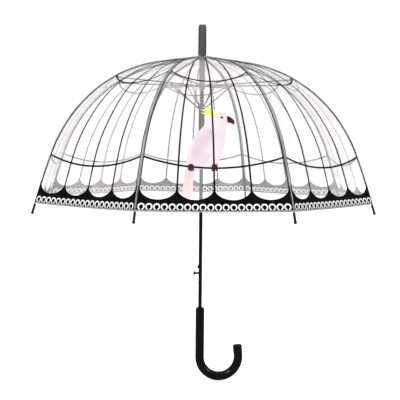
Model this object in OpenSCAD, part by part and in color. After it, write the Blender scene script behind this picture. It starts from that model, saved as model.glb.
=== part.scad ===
// Clear bubble umbrella with a deep eight-panel dome, a two-runner self-opening
// frame and a crook handle. The origin is on the shaft's axis at the middle of
// the straight grip, +Z runs up the shaft, panel 1 faces -Y and the hook is at +X.

/* [Canopy] */
// Radius of the rim at the ribs
rim_r = 402; // [388:1:416]
// Height of the film where it meets the shaft, above the grip's middle
crown_z = 662; // [655:1:670]
// Slope of the flat top of the dome, in degrees below level
top_slope = 10; // [8:0.5:12]
// Length of the straight stretch at the top of the dome
top_len = 109; // [100:1:118]
// Radius of the dome's shoulder
shoulder_r = 330; // [322:1:338]
// Slope where the shoulder ends and the side wall begins
wall_slope = 70; // [68:0.5:71]
// Radius of the slightly bowed side wall
wall_r = 1700; // [1600:20:1900]
// Thickness of the film
film_t = 0.5; // [0.3:0.1:0.6]
// How far a panel dips between its ribs, as a share of its distance from the shaft
panel_dip = 0.02; // [0:0.005:0.04]

/* [Frame] */
// Number of ribs, which is also the number of panels
ribs = 8; // [8:8]
// Radius of a rib's rod
rib_r = 1.6; // [1.4:0.1:1.7]
// Radius of a stretcher's rod
stretcher_r = 1.5; // [1.2:0.1:1.6]
// Radius of a strut's rod
strut_r = 1.2; // [1:0.1:1.4]
// Distance from the shaft to the joint of a rib and its stretcher
joint_x = 214; // [212:1:216]
// Share of a stretcher, from its runner outwards, at which the strut meets it
strut_share = 0.34; // [0.32:0.01:0.36]
// Length of the tip beyond the rim
tip_len = 24; // [18:1:28]

/* [Shaft] */
// Outer radius of the shaft
shaft_r = 4.25; // [4:0.05:4.5]
// Wall of the shaft
shaft_wall = 0.7; // [0.5:0.1:1]
// Height of the upper runner's pivots with the canopy open
upper_z = 590; // [588:1:592]
// Height of the lower runner's pivots with the canopy open
lower_z = 539; // [537:1:541]
// Length of the lower runner's sleeve below its pivots
sleeve_len = 103; // [95:1:104]
// Radius of the sleeves that slide on the shaft
sleeve_r = 7; // [6.6:0.1:7.4]
// Height of the release button
button_z = 145; // [142:1:147]
// Height of the catch that holds the lower runner when the canopy is shut
latch_z = 162; // [161:1:163]

/* [Ferrule] */
// Height of the ferrule's top
ferrule_top = 735; // [730:1:748]
// Radius of the ferrule's foot
ferrule_foot_r = 9.9; // [9.7:0.1:10.2]
// Radius of the ferrule's cylindrical tip
ferrule_tip_r = 8.6; // [8:0.1:8.8]
// Number of grooves down the ferrule
flutes = 14; // [10:1:18]

/* [Handle] */
// Radius of the handle
handle_r = 10.3; // [9.8:0.1:10.8]
// Radius of the crook's centre line
crook_r = 46; // [42:1:50]
// Height of the crook's centre, below the grip's middle
crook_z = -54; // [-60:1:-50]
// Height of the handle's top
handle_top = 63; // [58:1:68]

/* [Hidden] */
$fn = 64;
RIB_IDS = [1:ribs];

// Angles round the shaft
pitch = 360 / ribs;
half = pitch / 2;
function rib_az(k) = -90 - half + pitch * (k - 1);

// The dome's outline in a rib's plane: a straight top, a shoulder arc and a wall arc
film_hole = 6;
shoulder_len = shoulder_r * (wall_slope - top_slope) * PI / 180;
function out_dir(slope) = [sin(slope), cos(slope)];
function along_dir(slope) = [cos(slope), -sin(slope)];
dome_start = [film_hole, crown_z];
shoulder_start = dome_start + top_len * along_dir(top_slope);
shoulder_c = shoulder_start - shoulder_r * out_dir(top_slope);
wall_c = shoulder_c + (shoulder_r - wall_r) * out_dir(wall_slope);
// The wall arc ends where it reaches the rim's radius
end_slope = asin((rim_r - wall_c[0]) / wall_r);
wall_len = wall_r * (end_slope - wall_slope) * PI / 180;
dome_len = top_len + shoulder_len + wall_len;

// Slope of the outline at a length s from the hole
function dome_slope(s) =
    s < top_len ? top_slope :
    s < top_len + shoulder_len ? top_slope + (s - top_len) / shoulder_r * 180 / PI :
    wall_slope + (s - top_len - shoulder_len) / wall_r * 180 / PI;
// Point of the outline at a length s, moved inwards by the depth
function dome_point(s, depth = 0) =
    (s < top_len ? dome_start + s * along_dir(top_slope) :
     s < top_len + shoulder_len ? shoulder_c + shoulder_r * out_dir(dome_slope(s)) :
     wall_c + wall_r * out_dir(dome_slope(s)))
    - depth * out_dir(dome_slope(s));

// The ribs lie just under the film
rib_gap = 0.3;
rib_depth = film_t + rib_gap + rib_r;
rib_over = 9;
tip_start = 1.5;
tip_wall = 0.9;
hinge_x = 9;
hinge_s = (hinge_x - film_hole + rib_depth * sin(top_slope)) / cos(top_slope);
hinge = dome_point(hinge_s, rib_depth);

shoulder_steps = 13;
wall_steps = 3;

// Eyes and pins at the joints of the linkage
eye_r = 2.6;
eye_t = 2.4;
hinge_eye_r = 1.7;
hinge_bore_r = 0.7;
pin_r = 1;
pin_play = 0.05;
pin_over = 0.6;
side_gap = 0.4;
ear_t = 1.6;
ear_drop = 4.6;
stretcher_y = ear_t / 2 + side_gap + eye_t / 2;
strut_y = stretcher_y - stretcher_r - side_gap - eye_t / 2;
joint_z = dome_point(joint_s(), rib_depth)[1] - ear_drop;
// Length along the dome at which its outline is joint_x from the shaft
function joint_s(a = 0, b = dome_len, n = 20) =
    n == 0 ? (a + b) / 2 :
    dome_point((a + b) / 2, rib_depth)[0] < joint_x ? joint_s((a + b) / 2, b, n - 1) :
    joint_s(a, (a + b) / 2, n - 1);

// The pivots on the runners, and the free ends that stop short of them
pivot_x = 11;
stretcher_open = 4.5;
strut_open = 4;
upper_pivot = [pivot_x, upper_z];
lower_pivot = [pivot_x, lower_z];
joint = [joint_x, joint_z];
strut_joint = upper_pivot + strut_share * (joint - upper_pivot);

// How far a cutting shape reaches past the surface it cuts
cut = 1;

// Fits on the shaft, and the gap between pieces stacked along it
stack_gap = 0.3;
slide_play = 0.1;
press_play = 0.02;
bore_r = shaft_r + slide_play;
shaft_bottom = 0;
shaft_top = 702;

// Runners
flange_r = 12.2;
flange_t = 5;
collar_up = 6;
upper_down = 8;
neck_r = 6;
grip_r = 8.4;
grip_len = 7;
slot_w = 3.4;
slot_in = 9.8;

// Spring between the runners
spring_wire = 0.65;
spring_mean_r = 5.6;
spring_turns = 5;
spring_gap = 0.1;

module at_rib(k) rotate([0, 0, rib_az(k)]) children();

// A rod between two points of a rib's plane, at a distance y beside that plane
module rod(a, b, r, y = 0) {
    v = b - a;
    translate([a[0], y, a[1]])
        rotate([0, 90 - atan2(v[1], v[0]), 0])
        cylinder(r = r, h = norm(v));
}

// A disc with its axis square to a rib's plane
module cross_disc(p, r, t, y = 0)
    translate([p[0], y + t / 2, p[1]]) rotate([90, 0, 0]) cylinder(r = r, h = t);

// A ring of the rib's bent rod, square to the dome's outline
rod_sides = 12;
function rod_ring(s) =
    let (p = dome_point(s, rib_depth), n = out_dir(dome_slope(s)))
    [for (j = [0:rod_sides - 1])
        let (up = rib_r * cos(j * 360 / rod_sides), side = -rib_r * sin(j * 360 / rod_sides))
        [p[0] + up * n[0], side, p[1] + up * n[1]]];
rod_lengths = concat(
    [hinge_s],
    [for (i = [0:shoulder_steps]) top_len + shoulder_len * i / shoulder_steps],
    [for (i = [1:wall_steps]) top_len + shoulder_len + wall_len * i / wall_steps],
    [dome_len + rib_over]
);

// ---- Ferrule and crown ----

module ferrule() color([0.13, 0.13, 0.14]) {
    film_clear = 0.8;
    foot_z = crown_z + film_clear;
    foot_h = 3;
    tip_h = 6;
    body_z = foot_z + foot_h;
    body_h = ferrule_top - tip_h - body_z;
    body_top_r = ferrule_tip_r + 0.8;
    groove_r = 1.3;
    groove_out = 0.1;
    groove_start = 2;
    groove_h = body_h - 3 * groove_start;
    difference() {
        union() {
            translate([0, 0, foot_z]) cylinder(r = ferrule_foot_r, h = foot_h);
            translate([0, 0, body_z]) cylinder(r1 = ferrule_foot_r, r2 = body_top_r, h = body_h);
            translate([0, 0, ferrule_top - tip_h]) cylinder(r = ferrule_tip_r, h = tip_h);
        }
        for (i = [0:flutes - 1]) rotate([0, 0, i * 360 / flutes])
            translate([ferrule_foot_r + groove_out, 0, body_z + groove_start])
            rotate([0, -atan((ferrule_foot_r - body_top_r) / body_h), 0])
            cylinder(r = groove_r, h = groove_h, $fn = 24);
        translate([0, 0, foot_z - cut]) cylinder(r = shaft_r + press_play, h = shaft_top + cut - foot_z);
    }
}

// The crown notch holds the ribs' hinge eyes in slots, on a wire ring
notch_top = hinge[1] + 1;
notch_h = 12;
wire_r = 0.6;
wire_play = 0.08;
module crown_notch() color([0.06, 0.06, 0.07]) {
    notch_flange_r = 11.4;
    notch_flange_h = 6.5;
    nose_r = 5.6;
    nose_h = 1;
    slot_start = 6.2;
    difference() {
        union() {
            translate([0, 0, notch_top - notch_flange_h]) cylinder(r = notch_flange_r, h = notch_flange_h);
            translate([0, 0, notch_top - notch_h]) cylinder(r = sleeve_r, h = notch_h);
            translate([0, 0, notch_top - nose_h]) cylinder(r = nose_r, h = 2 * nose_h);
        }
        translate([0, 0, notch_top - notch_h - cut])
            cylinder(r = shaft_r + press_play, h = notch_h + nose_h + 2 * cut);
        for (k = RIB_IDS) at_rib(k)
            translate([slot_start, -slot_w / 2, notch_top - notch_flange_h - cut])
            cube([notch_flange_r, slot_w, notch_flange_h + 2 * cut]);
        translate([0, 0, hinge[1]]) rotate_extrude()
            translate([hinge_x, 0]) circle(r = wire_r + wire_play, $fn = 24);
    }
}

module notch_ring() color([0.7, 0.7, 0.72])
    translate([0, 0, hinge[1]]) rotate_extrude() translate([hinge_x, 0]) circle(r = wire_r, $fn = 24);

// ---- Shaft and what is fixed on it ----

module shaft() color([0.05, 0.05, 0.055]) {
    slot_len = latch_h + 2;
    slot_side = 0.3;
    stem_play = 0.08;
    difference() {
        translate([0, 0, shaft_bottom]) cylinder(r = shaft_r, h = shaft_top - shaft_bottom);
        translate([0, 0, shaft_bottom - cut])
            cylinder(r = shaft_r - shaft_wall, h = shaft_top - shaft_bottom + 2 * cut);
        translate([-shaft_r - cut, -latch_w / 2 - slot_side, latch_z - slot_len / 2])
            cube([shaft_r + cut, latch_w + 2 * slot_side, slot_len]);
        translate([-shaft_r - cut, 0, button_z]) rotate([0, 90, 0])
            cylinder(r = stem_r + stem_play, h = shaft_r + cut);
    }
}

module spacer_sleeve() color([0.42, 0.42, 0.44]) {
    top = notch_top - notch_h - stack_gap;
    bottom = upper_z + collar_up + stack_gap;
    band_z = upper_z + 14;
    band_h = 2.4;
    band_out = 1.2;
    difference() {
        union() {
            translate([0, 0, bottom]) cylinder(r = sleeve_r - 0.2, h = top - bottom);
            translate([0, 0, band_z]) cylinder(r = sleeve_r + band_out, h = band_h);
        }
        translate([0, 0, bottom - cut]) cylinder(r = shaft_r + press_play, h = top - bottom + 2 * cut);
    }
}

// Slots in a runner's flange for the inner ends of the rods
module flange_slots(z, y, w) for (k = RIB_IDS) at_rib(k)
    translate([slot_in, y - w / 2, z - flange_t / 2 - cut]) cube([flange_r, w, flange_t + 2 * cut]);

module upper_runner() color([0.16, 0.16, 0.17]) difference() {
    union() {
        translate([0, 0, upper_z - upper_down]) cylinder(r = sleeve_r, h = upper_down + collar_up);
        translate([0, 0, upper_z - flange_t / 2]) cylinder(r = flange_r, h = flange_t);
    }
    translate([0, 0, upper_z - upper_down - cut])
        cylinder(r = bore_r, h = upper_down + collar_up + 2 * cut);
    flange_slots(upper_z, stretcher_y, slot_w + 0.4);
}

module lower_runner() color([0.13, 0.13, 0.14]) difference() {
    foot = lower_z - sleeve_len;
    union() {
        translate([0, 0, foot]) cylinder(r = sleeve_r, h = sleeve_len);
        translate([0, 0, foot]) cylinder(r = grip_r, h = grip_len);
        translate([0, 0, lower_z]) cylinder(r = neck_r, h = collar_up);
        translate([0, 0, lower_z - flange_t / 2]) cylinder(r = flange_r - 0.2, h = flange_t);
    }
    translate([0, 0, foot - cut]) cylinder(r = bore_r, h = sleeve_len + collar_up + 2 * cut);
    flange_slots(lower_z, strut_y, slot_w);
}

// Points round the spring's wire at an angle of its coil
spring_low = lower_z + collar_up + spring_gap + spring_wire;
spring_high = upper_z - upper_down - spring_gap - spring_wire;
coil_steps = spring_turns * 20;
coil_sides = 8;
function coil_ring(i) = [
    for (j = [0:coil_sides - 1])
        let (a = i / coil_steps * spring_turns * 360,
             b = j * 360 / coil_sides,
             r = spring_mean_r + spring_wire * cos(b))
        [r * cos(a), r * sin(a),
         spring_low + (spring_high - spring_low) * i / coil_steps + spring_wire * sin(b)]
];

// A solid through rings that all have n points
module skin(rings, n) {
    m = len(rings);
    points = [for (ring = rings) each ring];
    walls = [for (i = [0:m - 2]) for (j = [0:n - 1]) let (k = (j + 1) % n)
        each [[i * n + j, (i + 1) * n + j, i * n + k], [i * n + k, (i + 1) * n + j, (i + 1) * n + k]]];
    start = [[for (j = [0:n - 1]) j]];
    finish = [[for (j = [n - 1:-1:0]) (m - 1) * n + j]];
    polyhedron(points, concat(walls, start, finish));
}

module runner_spring() color([0.6, 0.6, 0.62])
    skin([for (i = [0:coil_steps]) coil_ring(i)], coil_sides);

// ---- Catch and release ----

latch_w = 2.4;
latch_h = 10;
latch_out = 3.5;
stem_r = 2.4;
head_r = 5;
head_t = 2.6;
button_out = 12;
module latch() color([0.1, 0.1, 0.1]) {
    inner = shaft_r - shaft_wall;
    back = 1.2;
    low = -latch_h / 2;
    chamfer = 1.5;
    translate([0, latch_w / 2, latch_z]) rotate([90, 0, 0]) linear_extrude(latch_w)
        polygon([
            [-back, low], [-shaft_r - latch_out + chamfer, low],
            [-shaft_r - latch_out, low + chamfer], [-inner, -low], [-back, -low]
        ]);
}

module release_button() color([0.08, 0.08, 0.08]) {
    edge = 0.8;
    reach = button_out + shaft_wall + 0.4;
    translate([-shaft_r - button_out, 0, button_z]) rotate([0, 90, 0])
        rotate_extrude() polygon([
            [0, 0], [head_r - edge, 0], [head_r, edge], [head_r, head_t], [stem_r, head_t + edge],
            [stem_r, reach], [0, reach]
        ]);
}

// A flat leaf inside the tube that pushes the latch and the button out
module catch_spring() color([0.75, 0.75, 0.78]) {
    leaf_x = 1.9;
    leaf_t = 0.4;
    leaf_w = 3;
    leaf_low = button_z - 15;
    leaf_high = latch_z + 12;
    translate([leaf_x, -leaf_w / 2, leaf_low]) cube([leaf_t, leaf_w, leaf_high - leaf_low]);
}

// ---- Handle ----

hook_lean = 5;
hook_rise = 24;
module handle() color([0.03, 0.03, 0.035]) {
    collar_h = 4;
    neck_h = 1.6;
    collar_r = handle_r - 0.5;
    mouth_r = handle_r - 2;
    end_r = handle_r + 0.6;
    core_r = 5;
    core_h = 6;
    edge_r = 3;
    difference() {
        union() {
            rotate_extrude() polygon([
                [0, crook_z], [handle_r, crook_z], [handle_r, handle_top - neck_h - collar_h],
                [collar_r, handle_top - neck_h], [mouth_r, handle_top], [0, handle_top]
            ]);
            translate([crook_r, 0, crook_z]) rotate([90, 0, 0]) rotate([0, 0, 180])
                rotate_extrude(angle = 180 + hook_lean, $fn = 120)
                translate([crook_r, 0]) circle(r = handle_r, $fn = 64);
            translate([0, 0, crook_z - core_h / 2]) cylinder(r = core_r, h = core_h);
            translate([crook_r * (1 + cos(hook_lean)), 0, crook_z + crook_r * sin(hook_lean)])
                rotate([0, -hook_lean, 0]) {
                    rotate_extrude() polygon(concat(
                        [[0, 0], [handle_r, 0]],
                        [for (a = [0:15:90])
                            [end_r - edge_r + edge_r * cos(a), hook_rise - edge_r + edge_r * sin(a)]],
                        [[0, hook_rise]]
                    ));
                    translate([0, 0, -core_h / 2]) cylinder(r = core_r, h = core_h);
                }
        }
        translate([0, 0, shaft_bottom]) cylinder(r = shaft_r + press_play, h = handle_top);
    }
}

// ---- Linkage: everything below is drawn in its rib's plane and turned to its place ----

module rib(k) color([0.12, 0.12, 0.13]) at_rib(k) difference() {
    ear_s = joint_s();
    ear_p = dome_point(ear_s, rib_depth);
    ear_w = 5;
    pin_end = stretcher_y + eye_t / 2 + pin_over;
    union() {
        cross_disc(hinge, hinge_eye_r, eye_t);
        skin([for (s = rod_lengths) rod_ring(s)], rod_sides);
        translate([ear_p[0] - ear_w / 2, -ear_t / 2, joint_z - eye_r])
            cube([ear_w, ear_t, ear_drop + eye_r]);
        cross_disc(joint, pin_r, pin_end, pin_end / 2);
    }
    cross_disc(hinge, hinge_bore_r, eye_t + cut);
}

module rib_tip(k) color([0.08, 0.08, 0.08]) at_rib(k) {
    d = along_dir(end_slope);
    rim = dome_point(dome_len, rib_depth);
    start = rim + tip_start * d;
    cup_r = rib_r + pin_play + tip_wall;
    bulb_r = 3.3;
    bulb = rim + (tip_len - bulb_r) * d;
    difference() {
        union() {
            rod(start, bulb, cup_r);
            translate([bulb[0], 0, bulb[1]]) sphere(r = bulb_r, $fn = 32);
        }
        rod(start - cut * d, rim + (rib_over + stack_gap) * d, rib_r + pin_play);
    }
}

module stretcher(k) color([0.3, 0.3, 0.31]) at_rib(k) {
    v = (joint - upper_pivot) / norm(joint - upper_pivot);
    inner = upper_pivot + stretcher_open * v;
    pin_y = strut_y - eye_t / 2 - pin_over;
    difference() {
        union() {
            rod(inner, joint, stretcher_r, stretcher_y);
            cross_disc(joint, eye_r, eye_t, stretcher_y);
        }
        cross_disc(joint, pin_r + pin_play, eye_t + 2 * cut, stretcher_y);
    }
    translate([inner[0], stretcher_y, inner[1]]) sphere(r = stretcher_r, $fn = 32);
    cross_disc(strut_joint, pin_r, stretcher_y - pin_y, (stretcher_y + pin_y) / 2);
}

module strut(k) color([0.3, 0.3, 0.31]) at_rib(k) {
    v = (strut_joint - lower_pivot) / norm(strut_joint - lower_pivot);
    inner = lower_pivot + strut_open * v;
    difference() {
        union() {
            rod(inner, strut_joint, strut_r, strut_y);
            cross_disc(strut_joint, eye_r, eye_t - side_gap, strut_y);
        }
        cross_disc(strut_joint, pin_r + pin_play, eye_t + 2 * cut, strut_y);
    }
    translate([inner[0], strut_y, inner[1]]) sphere(r = strut_r, $fn = 32);
}

// ---- Canopy: each panel is two solids, because it folds along its middle ----

seam_gap = 0.15;
top_rows = 3;
shoulder_rows = 14;
wall_rows = 4;
panel_cols = 4;
row_lengths = concat(
    [for (i = [0:top_rows - 1]) top_len * i / top_rows],
    [for (i = [0:shoulder_rows - 1]) top_len + shoulder_len * i / shoulder_rows],
    [for (i = [0:wall_rows]) top_len + shoulder_len + wall_len * i / wall_rows]
);
// Point of a half panel in its rib's frame, with u from 0 at the rib to 1 at the middle
function panel_point(s, u, depth) =
    let (p = dome_point(s, depth),
         slope = dome_slope(s),
         dip = panel_dip * p[0] * (1 - (1 - u) * (1 - u)),
         a = [p[0], seam_gap],
         b = p[0] * cos(half) * [cos(half), sin(half)] + seam_gap * [sin(half), -cos(half)],
         m = a + u * (b - a),
         inward = dip * sin(slope))
    [m[0] - inward * cos(half), m[1] - inward * sin(half), p[1] - dip * cos(slope)];
function panel_ring(s) = concat(
    [for (i = [0:panel_cols]) panel_point(s, i / panel_cols, 0)],
    [for (i = [panel_cols:-1:0]) panel_point(s, i / panel_cols, film_t)]
);
module half_panel() skin([for (s = row_lengths) panel_ring(s)], 2 * panel_cols + 2);

module panel_left(k) color([0.85, 0.88, 0.9, 0.4]) at_rib(k) half_panel();
module panel_right(k) color([0.85, 0.88, 0.9, 0.4]) at_rib(k + 1) mirror([0, 1, 0]) half_panel();

ferrule();
crown_notch();
notch_ring();
shaft();
spacer_sleeve();
upper_runner();
runner_spring();
lower_runner();
latch();
release_button();
catch_spring();
handle();
for (k = RIB_IDS) {
    rib(k);
    rib_tip(k);
    stretcher(k);
    strut(k);
    panel_left(k);
    panel_right(k);
}
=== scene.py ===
import math

import bmesh
import bpy
import numpy as np
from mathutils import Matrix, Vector


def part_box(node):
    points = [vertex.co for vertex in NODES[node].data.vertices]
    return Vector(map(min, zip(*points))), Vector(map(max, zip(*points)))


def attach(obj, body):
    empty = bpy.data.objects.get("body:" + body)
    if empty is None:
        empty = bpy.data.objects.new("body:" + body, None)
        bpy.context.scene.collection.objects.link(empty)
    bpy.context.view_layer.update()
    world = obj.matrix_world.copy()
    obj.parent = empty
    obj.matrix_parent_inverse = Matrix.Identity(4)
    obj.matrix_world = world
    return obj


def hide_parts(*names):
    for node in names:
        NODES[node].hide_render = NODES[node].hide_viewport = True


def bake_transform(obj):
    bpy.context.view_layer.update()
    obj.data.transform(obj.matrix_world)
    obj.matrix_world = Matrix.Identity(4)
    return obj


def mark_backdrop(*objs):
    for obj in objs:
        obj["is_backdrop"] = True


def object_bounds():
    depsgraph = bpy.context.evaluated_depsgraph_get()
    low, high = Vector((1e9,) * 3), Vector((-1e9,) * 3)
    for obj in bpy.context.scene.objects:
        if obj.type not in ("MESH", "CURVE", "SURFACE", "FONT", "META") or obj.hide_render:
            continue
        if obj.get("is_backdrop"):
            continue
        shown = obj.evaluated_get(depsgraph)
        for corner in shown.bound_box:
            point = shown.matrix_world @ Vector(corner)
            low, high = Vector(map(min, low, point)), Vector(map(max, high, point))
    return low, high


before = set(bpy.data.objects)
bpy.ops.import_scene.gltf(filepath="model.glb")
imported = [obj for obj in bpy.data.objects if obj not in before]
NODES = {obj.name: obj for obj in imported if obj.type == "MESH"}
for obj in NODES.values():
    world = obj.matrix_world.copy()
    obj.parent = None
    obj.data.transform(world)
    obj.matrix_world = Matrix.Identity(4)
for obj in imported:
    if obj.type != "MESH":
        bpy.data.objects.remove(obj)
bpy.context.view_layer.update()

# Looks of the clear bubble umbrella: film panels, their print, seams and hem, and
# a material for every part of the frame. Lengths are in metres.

MM = 0.001

# ---- The dome's outline in a rib's plane, as in the CAD model ----

RIBS = 8
PITCH = 2 * math.pi / RIBS
HALF = PITCH / 2
CROWN_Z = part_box("panel_1_left")[1].z
HOLE_R = 6 * MM
TOP_SLOPE = math.radians(10)
TOP_LEN = 109 * MM
SHOULDER_R = 330 * MM
WALL_SLOPE = math.radians(70)
WALL_R = 1700 * MM
RIM_R = 402 * MM
FILM_T = 0.5 * MM
PANEL_DIP = 0.02

SHOULDER_END = TOP_LEN + SHOULDER_R * (WALL_SLOPE - TOP_SLOPE)
SHOULDER_X = HOLE_R + TOP_LEN * math.cos(TOP_SLOPE) - SHOULDER_R * math.sin(TOP_SLOPE)
SHOULDER_Z = CROWN_Z - TOP_LEN * math.sin(TOP_SLOPE) - SHOULDER_R * math.cos(TOP_SLOPE)
WALL_X = SHOULDER_X + (SHOULDER_R - WALL_R) * math.sin(WALL_SLOPE)
WALL_Z = SHOULDER_Z + (SHOULDER_R - WALL_R) * math.cos(WALL_SLOPE)
DOME_LEN = SHOULDER_END + WALL_R * (math.asin((RIM_R - WALL_X) / WALL_R) - WALL_SLOPE)

# Small tension ripples of the film, deepest beside the ribs, and a long wave that is
# deepest at the middle of a panel
RIPPLE_DEEP = 0.7 * MM
RIPPLE_LONG = 75 * MM
RIPPLE_REACH = 5
RIPPLE_ROOT = 40
WAVE_DEEP = 1.1 * MM
WAVE_LONG = 190 * MM
WAVE_SHIFT = 0.35


def outline(s):
    """Distance from the shaft, height and slope of the outline at lengths s from the crown."""
    s = np.asarray(s, float)
    slope = np.where(
        s < TOP_LEN,
        TOP_SLOPE,
        np.where(
            s < SHOULDER_END,
            TOP_SLOPE + (s - TOP_LEN) / SHOULDER_R,
            WALL_SLOPE + (s - SHOULDER_END) / WALL_R,
        ),
    )
    x = np.where(
        s < TOP_LEN,
        HOLE_R + s * math.cos(TOP_SLOPE),
        np.where(
            s < SHOULDER_END,
            SHOULDER_X + SHOULDER_R * np.sin(slope),
            WALL_X + WALL_R * np.sin(slope),
        ),
    )
    z = np.where(
        s < TOP_LEN,
        CROWN_Z - s * math.sin(TOP_SLOPE),
        np.where(
            s < SHOULDER_END,
            SHOULDER_Z + SHOULDER_R * np.cos(slope),
            WALL_Z + WALL_R * np.cos(slope),
        ),
    )
    return x, z, slope


def half_width(s):
    """Half a panel's width, from its middle line to its seam."""
    return outline(s)[0] * math.sin(HALF)


def film_point(s, u, lift=0.0):
    """Points of a half panel in its rib's frame: u is 0 at the rib and 1 at the middle line."""
    s, u = np.broadcast_arrays(np.asarray(s, float), np.asarray(u, float))
    x, z, slope = outline(s)
    ease = np.clip((s - TOP_LEN) / TOP_LEN, 0, 1) * np.clip((DOME_LEN - s) / TOP_LEN, 0, 1)
    near_rib = np.exp(-RIPPLE_REACH * u) * (1 - np.exp(-RIPPLE_ROOT * u))
    ripple = RIPPLE_DEEP * near_rib * np.sin(2 * math.pi * s / RIPPLE_LONG)
    wave = WAVE_DEEP * u * np.sin(2 * math.pi * (s / WAVE_LONG + WAVE_SHIFT))
    dip = PANEL_DIP * x * (1 - (1 - u) ** 2) + ease * (ripple + wave) - lift
    across = x * math.cos(HALF)
    bx, by = across * math.cos(HALF), across * math.sin(HALF)
    inward = dip * np.sin(slope)
    return np.stack(
        [
            x + u * (bx - x) - inward * math.cos(HALF),
            u * by - inward * math.sin(HALF),
            z - dip * np.cos(slope),
        ],
        -1,
    )


def length_at(z, u, samples=400):
    """Length from the crown at which the film is at height z."""
    s = np.linspace(0, DOME_LEN, samples)
    return float(np.interp(-z, -film_point(s, np.full_like(s, u))[:, 2], s))


def rib_angle(k):
    """Angle of a rib about the shaft, seen from above."""
    return -math.pi / 2 - HALF + PITCH * (k - 1)


def rib_of(k, side):
    """The rib at the seam of a half panel: its own on the left, the next one on the right."""
    return k if side == "left" else k % RIBS + 1


def place(points, k, side):
    """Moves points from a rib's frame to the object's frame; a right half is mirrored."""
    a = rib_angle(rib_of(k, side))
    x, y, z = points.T
    if side == "right":
        y = -y
    return np.stack([x * math.cos(a) - y * math.sin(a), x * math.sin(a) + y * math.cos(a), z], -1)


# ---- Mesh helpers ----


def add_mesh(name, verts, faces, materials, indices=None, smooth=True):
    """A new object from points and faces, with its normals outwards."""
    mesh = bpy.data.meshes.new(name)
    mesh.from_pydata([tuple(v) for v in verts], [], faces)
    for material in materials:
        mesh.materials.append(material)
    if indices is not None:
        mesh.polygons.foreach_set("material_index", indices)
    bm = bmesh.new()
    bm.from_mesh(mesh)
    bmesh.ops.recalc_face_normals(bm, faces=bm.faces[:])
    bm.to_mesh(mesh)
    bm.free()
    mesh.polygons.foreach_set("use_smooth", [smooth] * len(mesh.polygons))
    obj = bpy.data.objects.new(name, mesh)
    bpy.context.scene.collection.objects.link(obj)
    return obj


def grid_faces(rows, cols):
    """Four-sided faces of a grid of points, counted row by row."""
    return [
        (i * cols + j, i * cols + j + 1, (i + 1) * cols + j + 1, (i + 1) * cols + j)
        for i in range(rows - 1)
        for j in range(cols - 1)
    ]


class Flat:
    """Shapes drawn on a half panel in (s, u), each a thin closed solid between two lifts."""

    def __init__(self):
        self.s, self.u, self.lift, self.faces, self.material = [], [], [], [], []

    def add(self, s, u, faces, low, high, material=0):
        """Adds one shape: its faces above and below, and a wall along each open edge."""
        s, u = np.ravel(s), np.ravel(u)
        low, high = np.broadcast_to(low, s.shape), np.broadcast_to(high, s.shape)
        base, n = len(self.s), len(s)
        self.s += [*s, *s]
        self.u += [*u, *u]
        self.lift += [*high, *low]
        edges = {}
        for face in faces:
            for a, b in zip(face, face[1:] + face[:1]):
                edges[(a, b)] = edges.get((a, b), 0) + 1
        new = [tuple(base + v for v in face) for face in faces]
        new += [tuple(base + n + v for v in reversed(face)) for face in faces]
        new += [
            (base + b, base + a, base + n + a, base + n + b)
            for a, b in edges
            if (b, a) not in edges
        ]
        self.faces += new
        self.material += [material] * len(new)

    def ribbon(self, a, b, low, high, material=0, across=2):
        """A band between two lines of points (s, u)."""
        a, b = np.asarray(a, float), np.asarray(b, float)
        t = np.linspace(0, 1, across)[None, :, None]
        points = a[:, None, :] * (1 - t) + b[:, None, :] * t
        self.add(points[..., 0], points[..., 1], grid_faces(len(a), across), low, high, material)

    def build(self, name, k, side, materials, smooth=False):
        """Puts the shapes on one half panel as one piece."""
        s, u = np.array(self.s), np.clip(np.array(self.u), 0, 1)
        verts = place(film_point(s, u, np.array(self.lift)), k, side)
        obj = add_mesh(name, verts, self.faces, materials, self.material, smooth)
        follow_fold(obj)
        return obj


def follow_fold(obj):
    """Bakes the piece's placement into its mesh."""
    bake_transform(obj)


# ---- Materials ----


def material(name):
    """A new material, with its nodes, its links and its shader."""
    m = bpy.data.materials.new(name)
    m.use_nodes = True
    nodes, links = m.node_tree.nodes, m.node_tree.links
    return m, nodes, links, nodes["Principled BSDF"]


def noise(nodes, links, scale, stretch=(1, 1, 1), detail=4.0):
    """Noise over the object's own coordinates, stretched by axis. Returns its output."""
    place_in = nodes.new("ShaderNodeTexCoord")
    mapping = nodes.new("ShaderNodeMapping")
    mapping.inputs["Scale"].default_value = stretch
    texture = nodes.new("ShaderNodeTexNoise")
    texture.inputs["Scale"].default_value = scale
    texture.inputs["Detail"].default_value = detail
    links.new(place_in.outputs["Object"], mapping.inputs["Vector"])
    links.new(mapping.outputs["Vector"], texture.inputs["Vector"])
    return texture.outputs["Fac"]


def spread(nodes, links, source, low, high, start=0.35, end=0.65):
    """Maps a texture's output to a range."""
    node = nodes.new("ShaderNodeMapRange")
    node.inputs["From Min"].default_value = start
    node.inputs["From Max"].default_value = end
    node.inputs["To Min"].default_value = low
    node.inputs["To Max"].default_value = high
    links.new(source, node.inputs["Value"])
    return node.outputs["Result"]


def tint(nodes, links, source, dark, light, start=0.35, end=0.65):
    """Maps a texture's output to a colour."""
    ramp = nodes.new("ShaderNodeValToRGB")
    ramp.color_ramp.elements[0].position = start
    ramp.color_ramp.elements[1].position = end
    ramp.color_ramp.elements[0].color = (*dark, 1)
    ramp.color_ramp.elements[1].color = (*light, 1)
    links.new(source, ramp.inputs["Fac"])
    return ramp.outputs["Color"]


def bump(nodes, links, shader, source, strength, distance):
    """Uses a texture as the surface's fine height."""
    node = nodes.new("ShaderNodeBump")
    node.inputs["Strength"].default_value = strength
    node.inputs["Distance"].default_value = distance
    links.new(source, node.inputs["Height"])
    links.new(node.outputs["Normal"], shader.inputs["Normal"])


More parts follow.
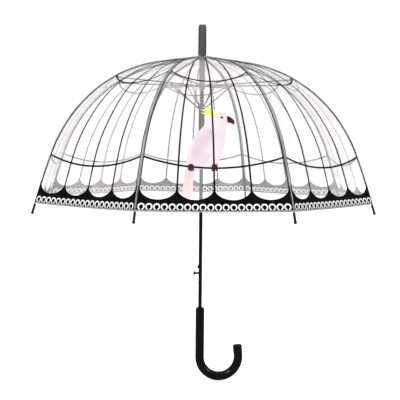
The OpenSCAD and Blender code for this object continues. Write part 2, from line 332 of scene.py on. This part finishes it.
WEAR_FINER = 2.3
GRAIN_STRENGTH = 0.35
GRAIN_DETAIL = 6.0


def solid_material(name, dark, light, rough, scale, stretch=(1, 1, 1), metallic=0.0, grain=400,
                   grain_deep=0.05 * MM, gloss=0.5):
    """Opaque plastic, paint, ink or steel: clouded colour, uneven gloss, fine surface grain."""
    m, nodes, links, shader = material(name)
    clouds = noise(nodes, links, scale, stretch)
    links.new(tint(nodes, links, clouds, dark, light), shader.inputs["Base Color"])
    wear = noise(nodes, links, scale * WEAR_FINER, stretch)
    links.new(spread(nodes, links, wear, *rough), shader.inputs["Roughness"])
    fine = noise(nodes, links, grain, stretch, GRAIN_DETAIL)
    bump(nodes, links, shader, fine, GRAIN_STRENGTH, grain_deep)
    shader.inputs["Metallic"].default_value = metallic
    shader.inputs["Specular IOR Level"].default_value = gloss
    return m


VINYL_IOR = 1.52
VINYL_ROUGH = (0.08, 0.2)
VEIL_BLEND = 0.25
CLOUD_RANGE = (0.3, 0.5)
WRINKLE_STRENGTH = 0.5
WRINKLE_DEEP = 1.5 * MM
# Scale, stretch and detail of each noise of the vinyl
VINYL_CLOUDS = (9, (1, 1, 0.5), 3.0)
VINYL_STREAKS = (26, (1, 1, 0.25), 5.0)
VINYL_WRINKLES = (14, (1, 1, 0.4), 4.0)


def film_material(name, thin, thick, edge, dark, light, sideways):
    """Clear vinyl: a faint milky veil, streaked, denser where it is seen along its surface."""
    m, nodes, links, shader = material(name)
    clouds = noise(nodes, links, *VINYL_CLOUDS)
    streaks = spread(nodes, links, noise(nodes, links, *VINYL_STREAKS), thin, thick)
    facing = nodes.new("ShaderNodeLayerWeight")
    facing.inputs["Blend"].default_value = VEIL_BLEND
    mix = nodes.new("ShaderNodeMix")
    mix.data_type = "RGBA"
    mix.inputs["B"].default_value = (*sideways, 1)
    links.new(facing.outputs["Fresnel"], mix.inputs["Factor"])
    links.new(tint(nodes, links, clouds, dark, light, *CLOUD_RANGE), mix.inputs["A"])
    links.new(mix.outputs["Result"], shader.inputs["Base Color"])
    veil = nodes.new("ShaderNodeMath")
    veil.operation = "MULTIPLY_ADD"
    veil.inputs[1].default_value = edge
    links.new(facing.outputs["Fresnel"], veil.inputs[0])
    links.new(streaks, veil.inputs[2])
    links.new(veil.outputs["Value"], shader.inputs["Alpha"])
    links.new(spread(nodes, links, clouds, *VINYL_ROUGH), shader.inputs["Roughness"])
    wrinkles = noise(nodes, links, *VINYL_WRINKLES)
    bump(nodes, links, shader, wrinkles, WRINKLE_STRENGTH, WRINKLE_DEEP)
    shader.inputs["IOR"].default_value = VINYL_IOR
    return m


def ink(name, dark, light, rough=(0.35, 0.5), scale=26, gloss=0.5):
    """Ink or tape on the film."""
    return solid_material(name, dark, light, rough, scale, gloss=gloss)


BLACK_INK = ink("black_ink", (0.003, 0.003, 0.0035), (0.007, 0.006, 0.007), (0.28, 0.42), 90, 0.08)
WHITE_INK = ink("white_ink", (0.80, 0.79, 0.78), (0.92, 0.92, 0.91), scale=120)
HEM_TAPE = ink("hem_tape", (0.24, 0.24, 0.24), (0.42, 0.42, 0.42), scale=150)
PINK = ink("pink_ink", (0.77, 0.63, 0.69), (0.85, 0.74, 0.79), scale=22)
MAUVE = ink("mauve_ink", (0.68, 0.55, 0.64), (0.79, 0.69, 0.76))
PEACH = ink("peach_ink", (0.80, 0.60, 0.58), (0.88, 0.74, 0.72))
YELLOW = ink("yellow_ink", (0.85, 0.82, 0.12), (0.95, 0.93, 0.35), scale=60)
DARK_RED = ink("dark_red_ink", (0.035, 0.009, 0.011), (0.075, 0.018, 0.02), (0.3, 0.45), 160)
THREAD = solid_material(
    "thread", (0.16, 0.16, 0.165), (0.34, 0.34, 0.345), (0.6, 0.75), 800, grain=3000)
FILM = film_material(
    "clear_vinyl", 0.075, 0.145, 0.17, (0.90, 0.79, 0.84), (0.98, 0.98, 0.98), (0.93, 0.88, 0.90))
SEAM = film_material(
    "welded_vinyl", 0.08, 0.15, 0.2, (0.62, 0.61, 0.62), (0.88, 0.88, 0.89), (0.4, 0.38, 0.4))

ALONG = (1, 1, 0.1)
# Stretch that draws the ferrule's colour noise into long streaks: painted highlights along its flutes
FLUTE_SHEEN_STRETCH = (1, 1, 0.04)
NODE_MATERIALS = {
    # Ferrule: the grey-black tone is its own; the lighter streaks are painted highlights standing in
    # for light on its flutes
    "ferrule": solid_material(
        "ferrule_plastic", (0.02, 0.02, 0.021), (0.13, 0.127, 0.125), (0.3, 0.45), 210, FLUTE_SHEEN_STRETCH,
        gloss=0.4),
    "notch": solid_material(
        "black_nylon", (0.005, 0.005, 0.0055), (0.012, 0.012, 0.013), (0.42, 0.6), 160, gloss=0.3),
    "grey": solid_material("grey_nylon", (0.06, 0.06, 0.063), (0.11, 0.11, 0.113), (0.42, 0.6), 140),
    "shaft": solid_material(
        "shaft_paint", (0.003, 0.003, 0.0035), (0.008, 0.008, 0.0085), (0.16, 0.3), 120, ALONG,
        gloss=0.35),
    "wire": solid_material(
        "plated_wire", (0.42, 0.42, 0.43), (0.66, 0.66, 0.67), (0.22, 0.4), 300, metallic=1.0),
    "rib": solid_material(
        "dark_steel", (0.014, 0.014, 0.015), (0.035, 0.035, 0.037), (0.3, 0.46), 180,
        metallic=0.2, gloss=0.25),
    "stretcher": solid_material(
        "grey_steel", (0.03, 0.03, 0.032), (0.075, 0.075, 0.078), (0.28, 0.44), 200,
        metallic=0.4, gloss=0.3),
    "handle": solid_material(
        "gloss_plastic", (0.002, 0.002, 0.0022), (0.004, 0.004, 0.0045), (0.10, 0.2), 40,
        grain=250, grain_deep=0.01 * MM),
}


def finish_node(name, key):
    """Gives a part of the frame its material."""
    obj = NODES[name]
    if not obj.material_slots:
        obj.data.materials.append(None)
    for slot in obj.material_slots:
        slot.material = NODE_MATERIALS[key]


for node, key in {
    "ferrule": "ferrule", "crown_notch": "notch", "notch_ring": "wire", "shaft": "shaft",
    "spacer_sleeve": "grey", "upper_runner": "notch", "runner_spring": "wire",
    "lower_runner": "notch", "latch": "notch", "release_button": "notch",
    "catch_spring": "wire", "handle": "handle",
}.items():
    finish_node(node, key)
for k in range(1, RIBS + 1):
    finish_node(f"rib_{k}", "rib")
    finish_node(f"rib_tip_{k}", "notch")
    finish_node(f"stretcher_{k}", "stretcher")
    finish_node(f"strut_{k}", "stretcher")

# ---- The opening spring, copied from the CAD coil ----


def opening_spring():
    """A copy of the CAD coil in the same place; the CAD coil is hidden."""
    cad = NODES["runner_spring"]
    coil = bpy.data.objects.new("opening_spring", cad.data.copy())
    coil.matrix_world = cad.matrix_world.copy()
    bpy.context.scene.collection.objects.link(coil)
    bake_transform(coil)
    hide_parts("runner_spring")


opening_spring()

# ---- Film panels ----

FILM_ROWS = 72
FILM_COLS = 14
INK_LOW = -0.15 * MM
INK_HIGH = 0.40 * MM

# Material slots: the print's white, where black is 0, and the seam's three
WHITE = 1
TAPE, STITCH, HEM = 0, 1, 2


def film_shape():
    """The clear sheet of a half panel."""
    shape = Flat()
    rows, columns = np.linspace(0, DOME_LEN, FILM_ROWS), np.linspace(0, 1, FILM_COLS)
    s, u = np.meshgrid(rows, columns, indexing="ij")
    shape.add(s, u, grid_faces(FILM_ROWS, FILM_COLS), -FILM_T, 0.0)
    return shape


# ---- The print that repeats on every panel ----

PRINT_EDGE = 0.026
PRINT_START = 0.010
SEAM_BAR_AT = 3.8 * MM
SEAM_BAR_SHARE = 0.55
BAR_US = (PRINT_EDGE, (1 + PRINT_EDGE) / 2, 1.0)
BAR_START = 62 * MM
BAR_THIN = 1.15 * MM
BAR_THICK = 1.95 * MM
BAR_ROWS = 72
BAR_OFF_SEAM = 0.002
LINE_HALF = 1.8 * MM
LINE_HIGH = INK_HIGH + 0.03 * MM
LINE_POINTS = 34

BAND_TOP = 24 * MM
BAND_HIGH = INK_HIGH + 0.06 * MM
BAND_OVERLAP = 2 * MM
BAND_POINTS = 30
BAND_ROWS = 6
CUSP_RISE = 26 * MM
LACE_BACK = 2.8 * MM
LACE_UNITS = 10
ARCH_OUT = 6.9 * MM
ARCH_IN = 3.9 * MM
ARCH_LINE = 9.6 * MM
ARCH_ENDS = (-75, 255)
ARCH_POINTS = 26
ARCH_ACROSS = 3
ARCH_THIN = 0.6
ARCH_THIN_ENDS = 0.2
LACE_LOW = INK_LOW - 0.15 * MM
LACE_HIGH = INK_HIGH + 0.14 * MM
HEM_W = 2.6 * MM

# Heights of the swags at the seam and at the middle of a panel
SWAGS = ((0.425, 0.403), (0.606, 0.582))


def bar(shape, u):
    """Black bar down the panel, thicker towards the rim; the one at the seam is thinner."""
    s = np.linspace(BAR_START, DOME_LEN - BAND_TOP + BAND_OVERLAP, BAR_ROWS)
    grow = (s - BAR_START) / DOME_LEN
    half = (BAR_THIN + (BAR_THICK - BAR_THIN) * grow) / half_width(s)
    if u == PRINT_EDGE:
        u = SEAM_BAR_AT / half_width(s)
        half = half * SEAM_BAR_SHARE
    shape.ribbon(
        np.stack([s, np.maximum(u - half, BAR_OFF_SEAM)], -1),
        np.stack([s, np.minimum(u + half, 1)], -1),
        INK_LOW, INK_HIGH,
    )


def swag(shape, z_seam, z_middle):
    """Black line that hangs from the seam to the middle of the panel."""
    q = np.linspace(0, 1, LINE_POINTS)
    u = PRINT_EDGE + (1 - PRINT_EDGE) * q
    top, low = length_at(z_seam, PRINT_EDGE), length_at(z_middle, 1)
    s = low - (low - top) * (1 - q) ** 2
    shape.ribbon(
        np.stack([s - LINE_HALF, u], -1), np.stack([s + LINE_HALF, u], -1),
        INK_LOW, LINE_HIGH,
    )


def scallop(shape, u_from, u_to):
    """Black band whose upper edge hangs in a round bay between two bars."""
    t = np.sin(np.linspace(-math.pi / 2, math.pi / 2, BAND_POINTS))
    u = (u_from + u_to) / 2 + (u_to - u_from) / 2 * t
    rise = CUSP_RISE * (1 - np.sqrt(np.clip(1 - t * t, 0, 1)))
    top = DOME_LEN - BAND_TOP - rise
    low = np.full_like(t, DOME_LEN - LACE_BACK)
    shape.ribbon(
        np.stack([top, u], -1), np.stack([low, u], -1),
        INK_LOW, BAND_HIGH, across=BAND_ROWS,
    )


def arch(shape, s0, u0):
    """White lace loop, thick at the top and nearly closed towards the hem."""
    w = half_width(s0)
    a = np.radians(np.linspace(*ARCH_ENDS, ARCH_POINTS))
    bulge = np.sin(np.linspace(ARCH_THIN_ENDS, math.pi - ARCH_THIN_ENDS, ARCH_POINTS))
    taper = ARCH_THIN + (1 - ARCH_THIN) * bulge
    inner = ARCH_OUT - (ARCH_OUT - ARCH_IN) * taper
    shape.ribbon(
        np.stack([s0 - ARCH_OUT * np.sin(a), u0 + ARCH_OUT * np.cos(a) / w], -1),
        np.stack([s0 - inner * np.sin(a), u0 + inner * np.cos(a) / w], -1),
        LACE_LOW, LACE_HIGH, WHITE, ARCH_ACROSS,
    )


def lace(shape):
    """Row of loops along the rim."""
    s0 = DOME_LEN - ARCH_LINE
    for i in range(LACE_UNITS):
        u = PRINT_EDGE + (1 - PRINT_EDGE) * (i + 0.5) / LACE_UNITS
        arch(shape, s0, u)


def print_shape():
    """All the print of a half panel: bars, swags, rim band and lace."""
    shape = Flat()
    for u in BAR_US:
        bar(shape, u)
    for z_seam, z_middle in SWAGS:
        swag(shape, z_seam, z_middle)
    peak = DOME_LEN - BAND_TOP - CUSP_RISE
    seam_side = np.array([[peak, PRINT_START], [peak, PRINT_EDGE]])
    shape.ribbon(seam_side, seam_side + [DOME_LEN - LACE_BACK - peak, 0], INK_LOW, BAND_HIGH)
    scallop(shape, BAR_US[0], BAR_US[1])
    scallop(shape, BAR_US[1], BAR_US[2])
    lace(shape)
    return shape


# ---- Seam tape with its stitches, and the hem ----

SEAM_W = 3.6 * MM
STITCH_AT = 2.3 * MM
STITCH_LONG = 2.6 * MM
STITCH_HALF = 0.35 * MM
STITCH_PITCH = 4.6 * MM
STITCH_ALONG = (-0.5, -0.3, 0.3, 0.5)
STITCH_THICK = (0.35, 1, 1, 0.35)
STITCH_LIFT = (0.26, 0.5, 0.5, 0.26)
STITCH_ROUND = 0.12 * MM
STITCH_LOW = 0.1 * MM
STITCH_ACROSS = 3
TAPE_START = 14 * MM
TAPE_FULL_AT = 90 * MM
TAPE_LEAST = 0.25
TAPE_LOW = -0.1 * MM
TAPE_HIGH = 0.22 * MM
TAPE_POINTS = 84
TAPE_ACROSS = 3
STITCHES_FROM = 70 * MM
STITCHES_TO = DOME_LEN - 8 * MM
HEM_PAST = 0.4 * MM
HEM_POINTS = 30
HEM_ACROSS = 3
# Each fold of the hem: its inset from the rim, its low side and its high side
HEM_FOLDS = ((HEM_W, -0.75 * MM, 0.3 * MM), (HEM_W * 0.6, -0.95 * MM, 0.52 * MM))


def stitch(shape, s0):
    """One stitch, domed across and pointed at both ends."""
    t = np.linspace(-1, 1, STITCH_ACROSS)[None, :]
    s = s0 + np.array(STITCH_ALONG) * STITCH_LONG
    thick = STITCH_HALF * np.array(STITCH_THICK)
    u = (STITCH_AT + thick[:, None] * t) / half_width(s0)
    rows = np.repeat(s[:, None], STITCH_ACROSS, 1)
    high = MM * np.array(STITCH_LIFT)[:, None] - STITCH_ROUND * np.abs(t)
    shape.add(rows, u, grid_faces(len(s), STITCH_ACROSS), STITCH_LOW, high.ravel(), STITCH)


def seam_shape():
    """Welded tape down the seam, its stitches and the hem along the rim."""
    shape = Flat()
    s = np.linspace(TAPE_START, DOME_LEN - HEM_W, TAPE_POINTS)
    tape = SEAM_W * np.clip(s / TAPE_FULL_AT, TAPE_LEAST, 1) / half_width(s)
    shape.ribbon(
        np.stack([s, 0 * s], -1), np.stack([s, tape], -1),
        TAPE_LOW, TAPE_HIGH, TAPE, TAPE_ACROSS,
    )
    for s0 in np.arange(STITCHES_FROM, STITCHES_TO, STITCH_PITCH):
        stitch(shape, s0)
    u = np.linspace(0, 1, HEM_POINTS)
    edge = np.full_like(u, DOME_LEN)
    for inset, low, high in HEM_FOLDS:
        shape.ribbon(
            np.stack([edge - inset, u], -1), np.stack([edge + HEM_PAST, u], -1),
            low, high, HEM, HEM_ACROSS,
        )
    return shape


# ---- The printed bird: a generic perched bird on the lower line of panel 1 ----
# Its points are in millimetres: rightwards, before the move by BIRD_X, and up from the line

PERCH_RISE = 1.5 * MM
FEET_AT = length_at(SWAGS[0][1] + PERCH_RISE, 1)
BIRD_X = -5
DICE = 8 * MM
SAME_POINT = 1e-7
BODY = [(18, 127), (32, 122), (38, 108), (33, 93), (30, 74), (27, 50), (20, 24), (8, 4), (-14, -3),
        (-30, -6), (-36, -30), (-38, -56), (-48, -62), (-57, -57), (-55, -30), (-50, 2), (-45, 36),
        (-32, 66), (-14, 90), (-2, 108), (6, 121)]
WING = [(-4, 86), (10, 66), (9, 40), (-6, 14), (-30, -10), (-46, -22), (-43, 6), (-36, 40), (-22, 70)]
TAIL = [(-32, -8), (-37, -32), (-39, -55), (-48, -60), (-55, -55), (-53, -30), (-49, -4), (-40, 2)]
TUFT = [
    [(18, 123), (6, 133), (-13, 140)],
    [(15, 121), (2, 128), (-18, 133)],
    [(12, 118), (0, 122), (-17, 124)],
]
TUFT_HALF = 3.0
BEAK = [(35, 116), (43, 112), (49, 103), (47, 95), (42, 99), (35, 101)]
QUILLS = [
    [(2, 62), (-10, 34), (-32, 2)],
    [(-8, 66), (-20, 38), (-38, 2)],
    [(-44, -18), (-47, -36), (-47, -54)],
]
QUILL_HALF = 0.8
QUILL_POINTS = 12
QUILL_TIP = 0.15
EYE = (24, 113, 2.6, 2.8)
FOOT_XS = (-40, 6)
FOOT_Y = 2.5
FOOT_SIZE = (5.5, 4.2)
TOE_XS = (-4, 0, 4)
TOE_Y = -4.2
TOE_FAN = 0.3
TOE_SIZE = (1.9, 5)

# What is printed over what: the height of each layer in millimetres
BODY_HIGH, TUFT_HIGH, TAIL_HIGH, WING_HIGH = 0.10, 0.15, 0.14, 0.18
BEAK_HIGH, QUILL_HIGH, EYE_HIGH, FOOT_HIGH, TOE_HIGH = 0.22, 0.23, 0.26, 0.56, 0.6
TUFT_STEP = 0.02
LAYERS_LOW = -0.4
LAYER_STEP = 0.015

# Slots of the bird's materials
BIRD_INKS = [PINK, MAUVE, PEACH, YELLOW, DARK_RED, MAUVE, BLACK_INK]
BODY_INK, WING_INK, TAIL_INK, TUFT_INK, BEAK_INK, QUILL_INK, EYE_INK = range(len(BIRD_INKS))


def smooth_loop(points, steps=6):
    """Closed Catmull-Rom curve through the points."""
    p = np.array(points, float)
    t = np.linspace(0, 1, steps, endpoint=False)[:, None]
    out = []
    for i in range(len(p)):
        a, b, c, d = (p[(i + j) % len(p)] for j in (-1, 0, 1, 2))
        square, cube = 2 * a - 5 * b + 4 * c - d, 3 * b - a - 3 * c + d
        out.append(0.5 * (2 * b + (c - a) * t + square * t**2 + cube * t**3))
    return np.concatenate(out)


def oval(x, y, rx, ry, n=18):
    """Points of an ellipse."""
    a = np.linspace(0, 2 * math.pi, n, endpoint=False)
    return np.stack([x + rx * np.cos(a), y + ry * np.sin(a)], -1)


def quill(points, half=QUILL_HALF):
    """A thin tapering stroke through three points."""
    a, b, c = (np.array(p, float) for p in points)
    t = np.linspace(0, 1, QUILL_POINTS)[:, None]
    line = a * (1 - t) ** 2 + 2 * b * t * (1 - t) + c * t**2
    run = np.gradient(line, axis=0)
    side = np.stack([-run[:, 1], run[:, 0]], -1) / np.linalg.norm(run, axis=1)[:, None]
    wide = half * np.sin(np.linspace(QUILL_TIP, math.pi - QUILL_TIP, QUILL_POINTS))[:, None]
    return np.concatenate([line + side * wide, (line - side * wide)[::-1]])


def diced(loop, side):
    """Triangles, in metres, of one half of a closed outline, cut on a square grid."""
    bm = bmesh.new()
    bm.faces.new([bm.verts.new(((x + BIRD_X) * MM, y * MM, 0)) for x, y in loop])
    bmesh.ops.triangulate(bm, faces=bm.faces[:])
    corners = (np.array(loop) + [BIRD_X, 0]) * MM
    for axis in (0, 1):
        first = math.ceil(corners[:, axis].min() / DICE)
        for i in range(first, math.floor(corners[:, axis].max() / DICE) + 1):
            at, normal = Vector(), Vector()
            at[axis], normal[axis] = i * DICE, 1
            geometry = bm.verts[:] + bm.edges[:] + bm.faces[:]
            bmesh.ops.bisect_plane(
                bm, geom=geometry, dist=SAME_POINT, plane_co=at, plane_no=normal)
    sign = -1 if side == "left" else 1
    keep = [f for f in bm.faces if f.calc_center_median().x * sign > 0]
    index, points, faces = {}, [], []
    for f in keep:
        face = []
        for v in f.verts:
            key = tuple(round(c, 7) for c in v.co)
            if key not in index:
                index[key] = len(points)
                points.append(v.co.copy())
            face.append(index[key])
        faces.append(tuple(face))
    bm.free()
    return points, faces


def bird_layers():
    """Outline, height and ink of each part of the bird, from the back to the front."""
    layers = [
        (smooth_loop(BODY), BODY_HIGH, BODY_INK),
        (smooth_loop(TAIL), TAIL_HIGH, TAIL_INK),
        (smooth_loop(WING), WING_HIGH, WING_INK),
    ]
    for i, feather in enumerate(TUFT):
        layers.append((quill(feather, TUFT_HALF), TUFT_HIGH + TUFT_STEP * i, TUFT_INK))
    layers.append((smooth_loop(BEAK, 4), BEAK_HIGH, BEAK_INK))
    layers += [(quill(line), QUILL_HIGH, QUILL_INK) for line in QUILLS]
    layers.append((oval(*EYE), EYE_HIGH, EYE_INK))
    for x in FOOT_XS:
        layers.append((oval(x, FOOT_Y, *FOOT_SIZE), FOOT_HIGH, BEAK_INK))
        for dx in TOE_XS:
            toe = oval(x + dx, TOE_Y + abs(dx) * TOE_FAN, *TOE_SIZE)
            layers.append((toe, TOE_HIGH, BEAK_INK))
    return layers


def bird_shape(side):
    """The half of the bird that lies on one half of the panel."""
    shape = Flat()
    for n, (loop, high, material) in enumerate(bird_layers()):
        points, faces = diced(loop, side)
        if not faces:
            continue
        s = np.array([FEET_AT - p.y for p in points])
        u = 1 - np.abs([p.x for p in points]) / half_width(s)
        shape.add(s, u, faces, (LAYERS_LOW + LAYER_STEP * n) * MM, high * MM, material)
    return shape


# ---- Thread that ties the film to each rib ----

TIE_TURNS = 3
TIE_R = 2.05 * MM
TIE_WIRE = 0.28 * MM
TIE_GAP = 2.1
TIE_SIDES = 6
TIE_STEPS = 16
RIB_DEPTH = 2.4 * MM
TIES_AT = (0.16, 0.30, 0.43, 0.53)


def rib_ties(k):
    """Short coils of thread round a rib, one at each tie, as a single piece."""
    verts, faces = [], []
    sides, steps = TIE_SIDES, TIE_STEPS * TIE_TURNS
    across = np.array([0, 1, 0])
    for s0 in TIES_AT:
        x, z, slope = (float(v) for v in outline(s0))
        out = np.array([math.sin(slope), 0, math.cos(slope)])
        along = np.array([math.cos(slope), 0, -math.sin(slope)])
        centre = np.array([x, 0, z]) - RIB_DEPTH * out
        base = len(verts)
        for i in range(steps + 1):
            a = 2 * math.pi * i / TIE_STEPS
            radial = math.cos(a) * out + math.sin(a) * across
            at = centre + along * (i / TIE_STEPS - TIE_TURNS / 2) * TIE_WIRE * TIE_GAP
            for j in range(sides):
                b = 2 * math.pi * j / sides
                reach = TIE_R + TIE_WIRE * math.cos(b)
                verts.append(at + radial * reach + along * TIE_WIRE * math.sin(b))
        for i in range(steps):
            for j in range(sides):
                n = (j + 1) % sides
                row = base + i * sides
                faces.append((row + j, row + n, row + sides + n, row + sides + j))
        faces.append(tuple(base + j for j in reversed(range(sides))))
        faces.append(tuple(base + steps * sides + j for j in range(sides)))
    verts = place(np.array(verts), k, "left")
    obj = add_mesh(f"rib_ties_{k}", verts, faces, [THREAD])
    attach(obj, f"rib_{k}")


# ---- Put the canopy together ----

film, prints, seam = film_shape(), print_shape(), seam_shape()
for k in range(1, RIBS + 1):
    for side in ("left", "right"):
        sheet = film.build(f"film_{k}_{side}", k, side, [FILM], smooth=True)
        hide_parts(f"panel_{k}_{side}")
        printed = prints.build(f"print_{k}_{side}", k, side, [BLACK_INK, WHITE_INK])
        tape = seam.build(f"seam_{k}_{side}", k, side, [SEAM, THREAD, HEM_TAPE])
        if k == 1:
            bird_shape(side).build(f"bird_{side}", k, side, BIRD_INKS)
    rib_ties(k)

# ---- Studio ----

SEEN_WHITE = 1.0
SOFT_WHITE = 0.85
GLOSS_WHITE = 0.13
FLOOR_R = 14.0
FLOOR_GAP = 3 * MM
FLOOR_RINGS = 6
FLOOR_SPOKES = 48
FLOOR_GLOW = 0.6
LOOK_AT = Vector((0, 0, 0.35))
LAMP_SIZE = 0.6


def white_world():
    """White where the camera sees it, softer as light, and dim in reflections."""
    world = bpy.data.worlds.new("studio")
    bpy.context.scene.world = world
    world.use_nodes = True
    nodes, links = world.node_tree.nodes, world.node_tree.links
    backdrop = nodes["Background"]
    backdrop.inputs["Color"].default_value = (1, 1, 1, 1)
    seen = nodes.new("ShaderNodeLightPath")
    mirrored = nodes.new("ShaderNodeMapRange")
    mirrored.inputs["To Min"].default_value = SOFT_WHITE
    mirrored.inputs["To Max"].default_value = GLOSS_WHITE
    level = nodes.new("ShaderNodeMapRange")
    level.inputs["To Max"].default_value = SEEN_WHITE
    links.new(seen.outputs["Is Glossy Ray"], mirrored.inputs["Value"])
    links.new(mirrored.outputs["Result"], level.inputs["To Min"])
    links.new(seen.outputs["Is Camera Ray"], level.inputs["Value"])
    links.new(level.outputs["Result"], backdrop.inputs["Strength"])


def white_floor(z):
    """Round paper floor with rings that widen outwards, left out of reflections."""
    verts = [(0, 0, z)]
    for i in range(1, FLOOR_RINGS + 1):
        r = FLOOR_R * (i / FLOOR_RINGS) ** 2
        for j in range(FLOOR_SPOKES):
            a = j * 2 * math.pi / FLOOR_SPOKES
            verts.append((r * math.cos(a), r * math.sin(a), z))
    following = [(j + 1) % FLOOR_SPOKES for j in range(FLOOR_SPOKES)]
    faces = [(0, 1 + j, 1 + n) for j, n in enumerate(following)]
    for i in range(1, FLOOR_RINGS):
        inner, outer = 1 + (i - 1) * FLOOR_SPOKES, 1 + i * FLOOR_SPOKES
        faces += [(inner + j, outer + j, outer + n, inner + n) for j, n in enumerate(following)]
    paper, nodes, links, shader = material("white_paper")
    clouds = noise(nodes, links, 3)
    white = tint(nodes, links, clouds, (0.86, 0.86, 0.86), (0.9, 0.9, 0.9))
    links.new(white, shader.inputs["Base Color"])
    shader.inputs["Roughness"].default_value = 0.9
    shader.inputs["Emission Color"].default_value = (1, 1, 1, 1)
    shader.inputs["Emission Strength"].default_value = FLOOR_GLOW
    floor = add_mesh("floor", verts, faces, [paper])
    floor.visible_glossy = False
    return floor


def soft_light(name, at, power):
    """A round lamp that points at the umbrella."""
    data = bpy.data.lights.new(name, "AREA")
    data.shape = "DISK"
    data.size = LAMP_SIZE
    data.energy = power
    lamp = bpy.data.objects.new(name, data)
    lamp.location = at
    lamp.rotation_euler = (LOOK_AT - Vector(at)).to_track_quat("-Z", "Y").to_euler()
    bpy.context.scene.collection.objects.link(lamp)


white_world()
bpy.context.scene.view_settings.view_transform = "Standard"
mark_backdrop(white_floor(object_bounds()[0].z - FLOOR_GAP))
soft_light("key", (-1.6, -1.9, 2.2), power=20)
soft_light("fill", (2.2, -1.2, 1.4), power=9)

# ---- Camera, fitted to the photo's view ----

EYE_AWAY = 1.90
EYE_Z = 0.441
EYE_TURN = math.radians(-4.2)
EYE_ROLL = math.radians(-0.5)
SENSOR_MM = 36
LENS_MM = 71.9
SHIFT_X = -0.0035
SHIFT_Y = -0.1285

camera_data = bpy.data.cameras.new("camera")
camera_data.sensor_width = SENSOR_MM
camera_data.lens = LENS_MM
camera_data.shift_x = SHIFT_X
camera_data.shift_y = SHIFT_Y
camera = bpy.data.objects.new("camera", camera_data)
camera.location = (math.sin(EYE_TURN) * EYE_AWAY, -math.cos(EYE_TURN) * EYE_AWAY, EYE_Z)
camera.rotation_euler = (math.pi / 2, EYE_ROLL, EYE_TURN)
bpy.context.scene.collection.objects.link(camera)
bpy.context.scene.camera = camera
